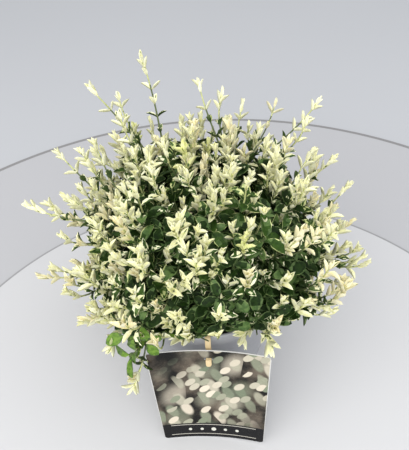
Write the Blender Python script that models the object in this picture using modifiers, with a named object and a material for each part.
"""Potted euonymus: a spreading variegated shrub in a round 15 cm nursery pot, with a big card label.

Metres, +Z up. The pot stands on Z = 0 about the Z axis, and the label leans out towards -Y.
Run it with blender --background --python part.py, or from Blender's text editor.
"""

import math
import random

import bmesh
import bpy
from mathutils import Matrix, Vector

# Pot
POT_HEIGHT = 0.110
POT_RIM_RADIUS = 0.0735
POT_FOOT_RADIUS = 0.0570
POT_WALL = 0.0013
POT_FLOOR = 0.0020
COLLAR_HEIGHT = 0.016
COLLAR_STEP = 0.0016
LIP_HEIGHT = 0.003
LIP_STEP = 0.0007
POT_EDGE = 0.0006
TURNED_STEPS = 44
DRAIN_COUNT = 6
DRAIN_RADIUS = 0.0050
DRAIN_RING = 0.040
DRAIN_SIDES = 12

# Neighbours that rest on each other are this far apart
GAP = 0.0003

# Soil
SOIL_EDGE = 0.0975
SOIL_DOME = 0.0030

# Crown: an ellipsoid of dense foliage, with a heart from which the boughs spread
CROWN_CENTRE = Vector((0.006, 0.0, 0.170))
CROWN_HALF = Vector((0.128, 0.124, 0.078))
CROWN_FLOOR = 0.106
HEART = Vector((0.0, 0.0, 0.118))
STEM_RADIUS = 0.0050
KNUCKLE_RADIUS = 0.0068

# Tiers of boughs: name, how many, elevation and first azimuth in degrees
TIERS = (
    ("top", 1, 90.0, 0.0),
    ("upper", 6, 48.0, -60.0),
    ("lower", 8, 12.0, -90.0),
)
BOUGH_START = 0.0071
BOUGH_END = 0.042
BOUGH_RADIUS = 0.0020
BOUGH_TIP_RADIUS = 0.0013
BOUGH_SAG = 0.0020

# Foliage
SEED = 426
TWIG_TIPS = 98
TIP_RANGE = (0.92, 1.12)
TWIG_RADIUS = 0.0012
TWIG_TIP_RADIUS = 0.0007
MASS_STEM_SHARE = 0.70
TWIG_BEND = 0.006
TWIG_SPREAD = 68.0
SHOOT_SPREAD = 48.0
CORE_SHARE = 0.80
CORE_START = 0.047
CORE_MARGIN = 0.0015
CORE_FLOOR = 0.116
CORE_SIDES = 10
LEAF_LENGTH = 0.028
LEAF_WIDTH = 0.0155
LEAF_SHRINK = 0.25
LEAF_CLOSING = 25.0
LEAF_SWINGS = (0.0, 0.35, -0.35, 0.7, -0.7, 1.05)
LEAF_THICKNESS = 0.0011
LEAF_SINK = 0.0002
LEAF_TIP_SETBACK = 0.0016
LEAF_WIDEST = -0.10
LEAF_THICKEST = -0.70
LEAF_SPACING = 0.018
LEAF_CLEARANCE = 0.0025
LEAF_TESTED = (
    (1, 0, 0),
    (-1, 0, 0),
    (0, 1, 0),
    (0, -1, 0),
    (0, 0, 1),
    (0, 0, -1),
    (0, 0, 0.5),
    (0, 0, -0.5),
)
CELL_MARGIN = 0.0003
MOST_TRIES = 5
CLOSEST_POINTS = 1e-6

# Shoots that stand out of the dense crown: azimuth and elevation in degrees, and reach from the heart
LONG_SHOOTS = (
    (117, 60, 0.210),
    (139, 52, 0.204),
    (126, 47, 0.186),
    (147, 41, 0.156),
    (160, 41, 0.180),
    (175, 38, 0.144),
    (180, 33, 0.180),
    (-166, 17, 0.156),
    (-145, 14, 0.134),
    (-126, -13, 0.124),
    (-61, 3, 0.110),
    (-36, 12, 0.126),
    (-11, 15, 0.148),
    (4, 19, 0.144),
    (15, 26, 0.159),
    (27, 29, 0.163),
    (38, 43, 0.192),
    (54, 44, 0.174),
    (69, 44, 0.166),
    (78, 50, 0.172),
    (89, 53, 0.180),
)

# Card label, in its own plane before it is tilted: widths at the top and bottom edges
LABEL_TOP_WIDTH = 0.117
LABEL_BOTTOM_WIDTH = 0.099
LABEL_LENGTH = 0.108
LABEL_CORNER = 0.004
LABEL_THICKNESS = 0.0006
LABEL_BOW = 0.008
LABEL_FOOT = Vector((-0.0012, -0.1190, 0.0018))
LABEL_LEAN = math.radians(18.4)
LABEL_TURN = math.radians(-8.5)
LABEL_TILT = math.radians(3.5)
LABEL_STRIPS = 10
SLOT_WIDTH = 0.0090
SLOT_HEIGHT = 0.0022
SLOT_DROP = 0.009

# Strip that holds the label to the pot
STRIP_WIDTH = 0.0065
STRIP_THICKNESS = 0.0006
# Its middle line over the rim: distances from the pot's axis, and heights above the rim
STRIP_OVER_RIM = (
    (-0.0650, -0.0013),
    (-0.0695, 0.0018),
    (-0.0735, 0.0014),
    (-0.0770, -0.0004),
    (-0.0800, -0.0060),
)
STRIP_BACK = -0.058
STRIP_FRONT = -0.096

# Plain colours, linear, with roughness
POT_GREY = ((0.36, 0.37, 0.38), 0.55)
SOIL_BLACK = ((0.014, 0.011, 0.009), 0.95)
BARK_GREEN = ((0.20, 0.24, 0.12), 0.70)
LEAF_GREEN = ((0.10, 0.20, 0.05), 0.40)
LABEL_DARK = ((0.10, 0.09, 0.08), 0.30)
STRIP_TAN = ((0.50, 0.41, 0.20), 0.45)


def empty_scene():
    for thing in list(bpy.data.objects):
        bpy.data.objects.remove(thing, do_unlink=True)


def new_collection(name):
    collection = bpy.data.collections.new(name)
    bpy.context.scene.collection.children.link(collection)
    return collection


def material(name, look):
    colour, roughness = look
    made = bpy.data.materials.new(name)
    made.use_nodes = True
    shader = made.node_tree.nodes["Principled BSDF"]
    shader.inputs["Base Color"].default_value = (*colour, 1.0)
    shader.inputs["Roughness"].default_value = roughness
    made.diffuse_color = (*colour, 1.0)
    return made


def place(name, mesh, collection, look=None):
    """An object of this mesh in the collection."""
    made = bpy.data.objects.new(name, mesh)
    collection.objects.link(made)
    if look is not None:
        mesh.materials.clear()
        mesh.materials.append(look)
    return made


def evaluated_mesh(thing):
    """The object's mesh with its modifiers applied, or a curve's mesh with its caps welded."""
    graph = bpy.context.evaluated_depsgraph_get()
    mesh = bpy.data.meshes.new_from_object(thing.evaluated_get(graph))
    work = bmesh.new()
    work.from_mesh(mesh)
    bmesh.ops.remove_doubles(work, verts=work.verts, dist=1e-6)
    bmesh.ops.recalc_face_normals(work, faces=work.faces)
    work.to_mesh(mesh)
    work.free()
    return mesh


def turned(name, profile, collection, look):
    """A Screw of the profile, given as (radius, height) from the top axis point down the outer side."""
    mesh = bpy.data.meshes.new(name)
    points = [(radius, 0.0, height) for radius, height in profile]
    edges = [(k, k + 1) for k in range(len(points) - 1)]
    mesh.from_pydata(points, edges, [])
    made = place(name, mesh, collection, look)
    screw = made.modifiers.new("turn", "SCREW")
    screw.steps = TURNED_STEPS
    screw.render_steps = TURNED_STEPS
    screw.use_merge_vertices = True
    screw.merge_threshold = 1e-5
    return made


def wall_radius(height):
    """Radius of the pot's outer wall at this height, below the collar."""
    slope = (POT_RIM_RADIUS - COLLAR_STEP - POT_FOOT_RADIUS) / (POT_HEIGHT - COLLAR_HEIGHT)
    return POT_FOOT_RADIUS + slope * height


def make_pot(collection, helpers, look):
    """A tapering thin-walled pot with a stepped collar, a rolled lip and drain holes in its floor."""
    collar_foot = POT_HEIGHT - COLLAR_HEIGHT
    rim_inside = POT_RIM_RADIUS - POT_WALL
    lip_radius = POT_RIM_RADIUS + LIP_STEP
    profile = (
        (0.0, POT_FLOOR),
        (wall_radius(POT_FLOOR) - POT_WALL, POT_FLOOR),
        (wall_radius(collar_foot) - POT_WALL, collar_foot),
        (rim_inside - POT_EDGE, collar_foot + COLLAR_STEP),
        (rim_inside - 0.6 * POT_EDGE, POT_HEIGHT - POT_EDGE),
        (rim_inside, POT_HEIGHT),
        (lip_radius - POT_EDGE, POT_HEIGHT),
        (lip_radius, POT_HEIGHT - POT_EDGE),
        (lip_radius, POT_HEIGHT - LIP_HEIGHT),
        (POT_RIM_RADIUS, POT_HEIGHT - LIP_HEIGHT - POT_EDGE),
        (POT_RIM_RADIUS - POT_EDGE, collar_foot),
        (wall_radius(collar_foot), collar_foot - POT_EDGE),
        (wall_radius(2 * POT_EDGE), 2 * POT_EDGE),
        (POT_FOOT_RADIUS - POT_EDGE, 0.0),
        (0.0, 0.0),
    )
    pot = turned("pot", profile, collection, look)
    for k in range(DRAIN_COUNT):
        angle = math.tau * k / DRAIN_COUNT
        work = bmesh.new()
        bmesh.ops.create_cone(
            work,
            segments=DRAIN_SIDES,
            radius1=DRAIN_RADIUS,
            radius2=DRAIN_RADIUS,
            depth=10 * POT_FLOOR,
            cap_ends=True,
        )
        mesh = bpy.data.meshes.new("drain_cutter")
        work.to_mesh(mesh)
        work.free()
        cutter = place(f"drain_cutter_{k + 1}", mesh, helpers)
        cutter.location = (DRAIN_RING * math.cos(angle), DRAIN_RING * math.sin(angle), 0.0)
        cutter.hide_render = True
        cutter.display_type = "WIRE"
        cut = pot.modifiers.new(f"drain {k + 1}", "BOOLEAN")
        cut.operation = "DIFFERENCE"
        cut.object = cutter
    return pot


def make_soil(collection, look):
    """The root ball that fills the pot, slightly domed, clear of the wall by the gap."""
    bottom = POT_FLOOR + GAP
    lower_radius = wall_radius(bottom) - POT_WALL - GAP
    collar_foot = POT_HEIGHT - COLLAR_HEIGHT
    upper_radius = wall_radius(collar_foot) - POT_WALL - 2 * GAP
    profile = (
        (0.0, SOIL_EDGE + SOIL_DOME),
        (0.4 * upper_radius, SOIL_EDGE + 0.84 * SOIL_DOME),
        (0.75 * upper_radius, SOIL_EDGE + 0.44 * SOIL_DOME),
        (upper_radius, SOIL_EDGE),
        (upper_radius, collar_foot),
        (lower_radius, bottom),
        (0.0, bottom),
    )
    return turned("soil", profile, collection, look)


def unit_ring(sides, helpers):
    """A hidden polygon of radius 1 m that gives limbs their cross-section."""
    name = f"ring_{sides}"
    if name in bpy.data.objects:
        return bpy.data.objects[name]
    curve = bpy.data.curves.new(name, "CURVE")
    spline = curve.splines.new("POLY")
    spline.points.add(sides - 1)
    for k, point in enumerate(spline.points):
        angle = math.tau * k / sides
        point.co = (math.cos(angle), math.sin(angle), 0.0, 1.0)
    spline.use_cyclic_u = True
    ring = bpy.data.objects.new(name, curve)
    ring.hide_render = True
    helpers.objects.link(ring)
    return ring


def limb_mesh(points, radii, sides, helpers):
    """A limb along the points, its radius at each point given in metres, with closed ends."""
    curve = bpy.data.curves.new("limb", "CURVE")
    curve.dimensions = "3D"
    curve.bevel_mode = "OBJECT"
    curve.bevel_object = unit_ring(sides, helpers)
    curve.use_fill_caps = True
    spline = curve.splines.new("POLY")
    spline.points.add(len(points) - 1)
    for control, point, radius in zip(spline.points, points, radii):
        control.co = (*point, 1.0)
        control.radius = radius
    guide = bpy.data.objects.new("limb", curve)
    helpers.objects.link(guide)
    mesh = evaluated_mesh(guide)
    bpy.data.objects.remove(guide)
    return mesh


def arc(start, bend, end, count):
    """Points of a quadratic curve from start to end, drawn towards bend."""
    points = []
    for k in range(count + 1):
        t = k / count
        points.append((1 - t) ** 2 * start + 2 * t * (1 - t) * bend + t * t * end)
    return points


def taper(first, last, count):
    return [first + (last - first) * k / count for k in range(count + 1)]


def direction(azimuth, elevation):
    """A unit vector from angles in degrees."""
    turn = math.radians(azimuth)
    lift = math.radians(elevation)
    return Vector((math.cos(lift) * math.cos(turn), math.cos(lift) * math.sin(turn), math.sin(lift)))


def crown_reach(way):
    """How far the dense crown's surface lies from the heart, this way."""
    scaled = Vector([way[k] / CROWN_HALF[k] for k in range(3)])
    offset = Vector([(HEART[k] - CROWN_CENTRE[k]) / CROWN_HALF[k] for k in range(3)])
    half_b = scaled.dot(offset)
    root = half_b**2 - scaled.length_squared * (offset.length_squared - 1.0)
    return (-half_b + math.sqrt(root)) / scaled.length_squared


def crown_tips(count):
    """Points spread evenly over the dense crown's surface by a golden-angle spiral, from the top down."""
    squash = (CROWN_HALF.x / CROWN_HALF.z) ** 2 - 1.0
    lowest = (CROWN_FLOOR - CROWN_CENTRE.z) / CROWN_HALF.z

    def area_below(level):
        root = math.sqrt(squash)
        return 0.5 * (level * math.sqrt(1.0 + squash * level**2) + math.asinh(root * level) / root)

    tips = []
    for k in range(count):
        share = (k + 0.5) / count
        wanted = area_below(1.0) + (area_below(lowest) - area_below(1.0)) * share
        low, high = lowest, 1.0
        for _ in range(30):
            middle = 0.5 * (low + high)
            if area_below(middle) < wanted:
                low = middle
            else:
                high = middle
        turn = k * math.pi * (3.0 - math.sqrt(5.0))
        across = math.sqrt(1.0 - low * low)
        ball = Vector((across * math.cos(turn), across * math.sin(turn), low))
        tips.append(CROWN_CENTRE + Vector([ball[a] * CROWN_HALF[a] for a in range(3)]))
    return tips


def cells_of_tiers():
    """Each mass's name and the direction of its middle, from the heart."""
    cells = []
    for tier, count, elevation, first in TIERS:
        for k in range(count):
            cells.append((f"{tier}_{k + 1}", direction(first + 360.0 * k / count, elevation)))
    return cells


def walls_of(own, ways):
    """Normals of the planes through the heart between this mass's space and its neighbours' spaces."""
    return [(own - other).normalized() for other in ways if (own - other).length > 1e-6]


def in_cell(point, walls, margin=CELL_MARGIN):
    from_heart = point - HEART
    return all(from_heart.dot(wall) > margin for wall in walls)


def label_matrix():
    """Places the label's own plane (X across, Y up the card) in the world."""
    return (
        Matrix.Translation(LABEL_FOOT)
        @ Matrix.Rotation(LABEL_TURN, 4, "Z")
        @ Matrix.Rotation(math.pi / 2 - LABEL_LEAN, 4, "X")
        @ Matrix.Rotation(LABEL_TILT, 4, "Z")
    )


def label_bow(across):
    """How far the bowed card stands out in front of its own plane, this far across."""
    return LABEL_BOW * (2.0 * across / LABEL_TOP_WIDTH) ** 2


def clear_of_made_things(point):
    """Whether the point lies clear of the table, the pot, the strip and the card."""
    if point.z < LEAF_CLEARANCE:
        return False
    over_pot = point.xy.length < POT_RIM_RADIUS + LIP_STEP + LEAF_CLEARANCE
    if over_pot and point.z < POT_HEIGHT + LEAF_CLEARANCE:
        return False
    beside_strip = abs(point.x - LABEL_FOOT.x) < STRIP_WIDTH / 2 + 3 * LEAF_CLEARANCE
    along_strip = STRIP_FRONT < point.y < STRIP_BACK and point.z < POT_HEIGHT + 4 * LEAF_CLEARANCE
    if beside_strip and along_strip:
        return False
    on_card = label_matrix().inverted() @ point
    near_plane = -LEAF_CLEARANCE < on_card.z < LABEL_BOW + 2 * LEAF_CLEARANCE
    within_sides = abs(on_card.x) < LABEL_TOP_WIDTH / 2 + LEAF_CLEARANCE
    within_ends = -LEAF_CLEARANCE < on_card.y < LABEL_LENGTH + 2 * LEAF_CLEARANCE
    return not (near_plane and within_sides and within_ends)


def route_is_clear(points):
    """Whether a twig keeps clear of the made things all the way from its start to its tip."""
    for first, last in zip(points, points[1:]):
        if not all(clear_of_made_things(first.lerp(last, part)) for part in (0.25, 0.5, 0.75, 1.0)):
            return False
    return True


def leaf_matrix(root, along, face, length, width):
    """Places a leaf primitive so that it starts at root, points along, and faces face."""
    side = along.cross(face).normalized()
    normal = along.cross(side).normalized()
    turn = Matrix((side, normal, along)).transposed().to_4x4()
    size = Matrix.Diagonal((width / 2, LEAF_THICKNESS / 2, length / 2, 1.0))
    return Matrix.Translation(root + along * (length / 2)) @ turn @ size


def leaf_fits(matrix, walls):
    """Whether the whole leaf keeps to its mass's space and clear of the limbs and the made things."""
    for tested in LEAF_TESTED:
        point = matrix @ Vector(tested)
        if not in_cell(point, walls) or not clear_of_made_things(point):
            return False
        if (point - HEART).length < BOUGH_END + LEAF_CLEARANCE:
            return False
    return True


def leaf_primitive():
    """A leaf of eight faces, long along Z, wide along X and thin along Y."""
    work = bmesh.new()
    bmesh.ops.create_uvsphere(work, u_segments=4, v_segments=2, radius=1.0)
    for vert in work.verts:
        if abs(vert.co.x) > 0.5:
            vert.co.z = LEAF_WIDEST
        if abs(vert.co.y) > 0.5:
            vert.co.z = LEAF_THICKEST
    mesh = bpy.data.meshes.new("leaf")
    work.to_mesh(mesh)
    work.free()
    return mesh


def leaves_along(points, first, pairs, spread, walls, dice):
    """Matrices of crossed leaf pairs down the outer part of a twig, the last pair at its tip."""
    length = sum((b - a).length for a, b in zip(points, points[1:]))
    found = []
    turn = dice.uniform(0.0, math.pi)
    for k in range(pairs):
        share = first + (1.0 - first) * k / (pairs - 1)
        place_on = min(share, 1.0 - LEAF_TIP_SETBACK / length) * (len(points) - 1)
        step = int(place_on)
        root = points[step].lerp(points[step + 1], place_on - step)
        forward = (points[step + 1] - points[step]).normalized()
        tilt = math.radians(spread - LEAF_CLOSING * k / (pairs - 1))
        size = 1.0 - LEAF_SHRINK * k / (pairs - 1)
        sideways = forward.orthogonal().normalized()
        turn += math.pi / 2 + dice.uniform(-0.3, 0.3)
        for side in (0.0, math.pi):
            for swing in LEAF_SWINGS:
                out = Matrix.Rotation(turn + side + swing, 3, forward) @ sideways
                along = (math.cos(tilt) * forward + math.sin(tilt) * out).normalized()
                face = (math.cos(tilt) * out - math.sin(tilt) * forward).normalized()
                matrix = leaf_matrix(
                    root - along * LEAF_SINK, along, face, size * LEAF_LENGTH, size * LEAF_WIDTH
                )
                if leaf_fits(matrix, walls):
                    found.append(matrix)
                    break
    return found


def core_mesh(middle, walls):
    """A faceted lump that fills the inner part of a mass's space, as far out to every side as it may."""
    work = bmesh.new()
    across = middle.orthogonal().normalized()
    other = middle.cross(across)

    def core_point(angle, tilt, outer):
        aside = math.cos(angle) * across + math.sin(angle) * other
        way = (math.cos(tilt) * middle + math.sin(tilt) * aside).normalized()
        reach = CORE_SHARE * crown_reach(way) if outer else CORE_START / math.cos(tilt)
        return HEART + way * reach

    def allowed(point):
        return in_cell(point, walls, CORE_MARGIN) and clear_of_made_things(point) and point.z > CORE_FLOOR

    work.verts.new(core_point(0.0, 0.0, True))
    for k in range(CORE_SIDES):
        angle = math.tau * k / CORE_SIDES
        for outer, parts in ((True, (1.0, 0.55)), (False, (1.0,))):
            widest = 0.0
            while widest < 1.2 and allowed(core_point(angle, widest + 0.02, outer)):
                widest += 0.02
            for part in parts:
                work.verts.new(core_point(angle, part * widest, outer))
    hull = bmesh.ops.convex_hull(work, input=work.verts)
    bmesh.ops.delete(work, geom=hull["geom_interior"], context="VERTS")
    bmesh.ops.recalc_face_normals(work, faces=work.faces)
    mesh = bpy.data.meshes.new("core")
    work.to_mesh(mesh)
    work.free()
    return mesh


def keep_main_body(mesh):
    """Drops loose scraps, and the inner skins of hollows that the union sealed."""
    work = bmesh.new()
    work.from_mesh(mesh)
    bmesh.ops.triangulate(work, faces=work.faces)
    unseen = set(work.verts)
    islands = []
    while unseen:
        island = {unseen.pop()}
        edge = list(island)
        while edge:
            near = {link.other_vert(vert) for vert in edge for link in vert.link_edges} - island
            island |= near
            edge = list(near)
        unseen -= island
        islands.append(island)
    main = max(islands, key=len)
    bmesh.ops.delete(work, geom=[vert for vert in work.verts if vert not in main], context="VERTS")
    work.to_mesh(mesh)
    work.free()
    return len(islands) - 1


def is_sound(mesh):
    """Whether the mesh is closed, with no two points so close that they would later be taken for one."""
    work = bmesh.new()
    work.from_mesh(mesh)
    closed = all(len(edge.link_faces) == 2 for edge in work.edges)
    twins = bmesh.ops.find_doubles(work, verts=work.verts, dist=CLOSEST_POINTS)["targetmap"]
    work.free()
    return closed and not twins


def twig_points(middle, stem, tip, dice):
    """A twig that leaves the mass's stem low for a far tip and high for a near one, and bends outwards."""
    aside = (tip - HEART).normalized().angle(middle)
    share = max(0.05, 0.80 - 1.5 * aside + dice.uniform(-0.06, 0.06))
    start = stem[0].lerp(stem[-1], share)
    outward = (tip - HEART).normalized()
    bend = start.lerp(tip, 0.55) + outward * TWIG_BEND
    return arc(start, bend, tip, 2)


def routes_of_mass(middle, stem, tips, shoots, dice):
    """Each twig of a mass: its points, where its leaves start, how many pairs it has and their spread."""
    routes = []
    for tip in tips:
        start = twig_points(middle, stem, tip, dice)[0]
        first = 1.0 - LEAF_SPACING / (tip - start).length
        routes.append(([start, tip], first, 2, TWIG_SPREAD))
    for tip in shoots:
        points = twig_points(middle, stem, tip, dice)
        standing_out = (tip - HEART).length - CORE_SHARE * crown_reach((tip - HEART).normalized())
        first = 1.0 - standing_out / (tip - points[0]).length
        routes.append((points, first, max(3, round(standing_out / LEAF_SPACING)), SHOOT_SPREAD))
    return routes


def joined_mass(name, middle, walls, tips, shoots, helpers, leaf, dice):
    """A core, a stem that grows on from the bough's tip, twigs and leaves, joined by one union."""
    joined = new_collection(f"joining {name}")
    start = HEART + middle * (BOUGH_END + GAP)
    end = HEART + middle * (MASS_STEM_SHARE * crown_reach(middle))
    stem = [start, start.lerp(end, 0.5), end]
    place("mass_stem", limb_mesh(stem, taper(BOUGH_TIP_RADIUS, 0.9 * TWIG_RADIUS, 2), 5, helpers), joined)
    leaves = 0
    for points, first, pairs, spread in routes_of_mass(middle, stem, tips, shoots, dice):
        if not all(in_cell(point, walls, TWIG_RADIUS) for point in points):
            continue
        if not route_is_clear(points):
            continue
        radii = taper(TWIG_RADIUS, TWIG_TIP_RADIUS, len(points) - 1)
        place("twig", limb_mesh(points, radii, 3, helpers), joined)
        for matrix in leaves_along(points, first, pairs, spread, walls, dice):
            place("leaf", leaf, joined).matrix_world = matrix
            leaves += 1
    core = place(f"core {name}", core_mesh(middle, walls), helpers)
    union = core.modifiers.new("join", "BOOLEAN")
    union.operation = "UNION"
    union.operand_type = "COLLECTION"
    union.collection = joined
    union.solver = "EXACT"
    mesh = evaluated_mesh(core)
    for thing in [core, *joined.objects]:
        bpy.data.objects.remove(thing)
    bpy.data.collections.remove(joined)
    return mesh, leaves


def grow_mass(name, middle, walls, tips, shoots, helpers, leaf, collection, look):
    """One mass as one closed solid: where its union comes out unsound, it grows again from the next seed."""
    for attempt in range(MOST_TRIES):
        dice = random.Random(f"{SEED} {name} {attempt}")
        mesh, leaves = joined_mass(name, middle, walls, tips, shoots, helpers, leaf, dice)
        dropped = keep_main_body(mesh)
        if is_sound(mesh):
            break
    print(name, "try", attempt + 1, leaves, "leaves", len(mesh.polygons), "faces", dropped, "scraps")
    return place(f"foliage_{name}", mesh, collection, look)


def make_stem(collection, helpers, look):
    """The short main stem, from the soil to the knuckle from which the boughs spread."""
    foot = SOIL_EDGE + SOIL_DOME + GAP
    shape = (
        (foot, 1.25 * STEM_RADIUS),
        (foot + 0.003, STEM_RADIUS),
        (HEART.z - 0.009, 0.92 * STEM_RADIUS),
        (HEART.z - 0.004, 0.90 * KNUCKLE_RADIUS),
        (HEART.z, KNUCKLE_RADIUS),
        (HEART.z + 0.0035, 0.85 * KNUCKLE_RADIUS),
        (HEART.z + 0.0067, 0.33 * KNUCKLE_RADIUS),
    )
    points = [Vector((HEART.x, HEART.y, height)) for height, _ in shape]
    mesh = limb_mesh(points, [radius for _, radius in shape], 14, helpers)
    return place("main_stem", mesh, collection, look)


def make_bough(name, middle, helpers, collection, look):
    """A bough from the knuckle to its mass, sagging a little on its way."""
    start = HEART + middle * BOUGH_START
    end = HEART + middle * BOUGH_END
    bend = start.lerp(end, 0.55) - Vector((0.0, 0.0, BOUGH_SAG * math.hypot(middle.x, middle.y)))
    mesh = limb_mesh(arc(start, bend, end, 3), taper(BOUGH_RADIUS, BOUGH_TIP_RADIUS, 3), 6, helpers)
    return place(f"bough_{name}", mesh, collection, look)


def corner_arc(centre, first, count=4):
    """A quarter circle of the label's corner radius, in whole degrees from first."""
    points = []
    for k in range(count + 1):
        angle = math.radians(first + 90.0 * k / count)
        points.append(centre + LABEL_CORNER * Vector((math.cos(angle), math.sin(angle))))
    return points


def label_outline():
    """The card's outline, anticlockwise, with round corners."""
    top = LABEL_TOP_WIDTH / 2 - LABEL_CORNER
    bottom = LABEL_BOTTOM_WIDTH / 2 - LABEL_CORNER
    high = LABEL_LENGTH - LABEL_CORNER
    return (
        corner_arc(Vector((top, high)), 0.0)
        + corner_arc(Vector((-top, high)), 90.0)
        + corner_arc(Vector((-bottom, LABEL_CORNER)), 180.0)
        + corner_arc(Vector((bottom, LABEL_CORNER)), 270.0)
    )


def slot_outline():
    """The slot through which the strip passes, below the middle of the top edge."""
    right = SLOT_WIDTH / 2
    high = LABEL_LENGTH - SLOT_DROP
    low = high - SLOT_HEIGHT
    return [Vector(corner) for corner in ((-right, low), (right, low), (right, high), (-right, high))]


def make_label(helpers, collection, look):
    """A bowed card with a slot: a filled outline, cut into upright strips, bent and thickened."""
    curve = bpy.data.curves.new("label_outline", "CURVE")
    curve.dimensions = "2D"
    curve.fill_mode = "BOTH"
    for outline in (label_outline(), slot_outline()):
        spline = curve.splines.new("POLY")
        spline.points.add(len(outline) - 1)
        for control, point in zip(spline.points, outline):
            control.co = (point.x, point.y, 0.0, 1.0)
        spline.use_cyclic_u = True
    guide = bpy.data.objects.new("label_outline", curve)
    helpers.objects.link(guide)
    mesh = evaluated_mesh(guide)
    bpy.data.objects.remove(guide)
    work = bmesh.new()
    work.from_mesh(mesh)
    for k in range(1, LABEL_STRIPS):
        across = LABEL_TOP_WIDTH * (k / LABEL_STRIPS - 0.5)
        everything = work.verts[:] + work.edges[:] + work.faces[:]
        bmesh.ops.bisect_plane(work, geom=everything, plane_co=(across, 0, 0), plane_no=(1, 0, 0), dist=1e-6)
    for vert in work.verts:
        vert.co.z = label_bow(vert.co.x)
    bmesh.ops.triangulate(work, faces=work.faces)
    work.to_mesh(mesh)
    work.free()
    label = place("label_card", mesh, collection, look)
    label.matrix_world = label_matrix()
    thick = label.modifiers.new("card", "SOLIDIFY")
    thick.thickness = LABEL_THICKNESS
    thick.offset = 0.0
    return label


def strip_route():
    """The strip's middle line: up out of the soil, over the rim, down to the card and through its slot."""
    slot = label_matrix() @ Vector((0.0, LABEL_LENGTH - SLOT_DROP - SLOT_HEIGHT / 2, 0.0))
    outward = (label_matrix().to_3x3() @ Vector((0.0, 0.0, 1.0))).normalized()
    down = (label_matrix().to_3x3() @ Vector((0.0, -1.0, 0.0))).normalized()
    before = slot - outward * 0.004 - down * 0.002
    after = slot + outward * 0.0022 + down * 0.0012
    end = after + down * 0.006 + outward * 0.0004
    over_rim = [Vector((slot.x, away, POT_HEIGHT + above)) for away, above in STRIP_OVER_RIM]
    foot = over_rim[0].copy()
    foot.y -= 0.5 * STRIP_THICKNESS
    foot.z = SOIL_EDGE + 0.28 * SOIL_DOME
    return (foot, *over_rim, before, slot, after, end)


def make_strip(collection, look):
    """A flat strip bent along its route: a ribbon with Solidify."""
    route = strip_route()
    half = STRIP_WIDTH / 2
    work = bmesh.new()
    rows = []
    for point in route:
        rows.append([work.verts.new(point + Vector((side * half, 0.0, 0.0))) for side in (-1, 1)])
    for (a, b), (c, d) in zip(rows, rows[1:]):
        work.faces.new((a, b, d, c))
    bmesh.ops.triangulate(work, faces=work.faces)
    mesh = bpy.data.meshes.new("label_strip")
    work.to_mesh(mesh)
    work.free()
    strip = place("label_strip", mesh, collection, look)
    thick = strip.modifiers.new("strip", "SOLIDIFY")
    thick.thickness = STRIP_THICKNESS
    thick.offset = 0.0
    return strip


def make_foliage(collection, helpers, bark, green):
    """The boughs and the masses, each in its own space about the heart."""
    cells = cells_of_tiers()
    ways = [middle for _, middle in cells]
    leaf = leaf_primitive()
    dice = random.Random(SEED)
    tips = [HEART + (tip - HEART) * dice.uniform(*TIP_RANGE) for tip in crown_tips(TWIG_TIPS)]
    shoots = [HEART + direction(azimuth, lift) * reach for azimuth, lift, reach in LONG_SHOOTS]
    for name, middle in cells:
        walls = walls_of(middle, ways)
        own_tips = [tip for tip in tips if in_cell(tip, walls, 0.0015)]
        own_shoots = [tip for tip in shoots if in_cell(tip, walls, 0.0)]
        make_bough(name, middle, helpers, collection, bark)
        grow_mass(name, middle, walls, own_tips, own_shoots, helpers, leaf, collection, green)


def main():
    empty_scene()
    plant = new_collection("potted euonymus")
    helpers = new_collection("helpers")
    bark = material("bark", BARK_GREEN)
    make_pot(plant, helpers, material("pot_plastic", POT_GREY))
    make_soil(plant, material("soil", SOIL_BLACK))
    make_stem(plant, helpers, bark)
    make_foliage(plant, helpers, bark, material("foliage", LEAF_GREEN))
    make_label(helpers, plant, material("label_card", LABEL_DARK))
    make_strip(plant, material("label_strip", STRIP_TAN))


main()
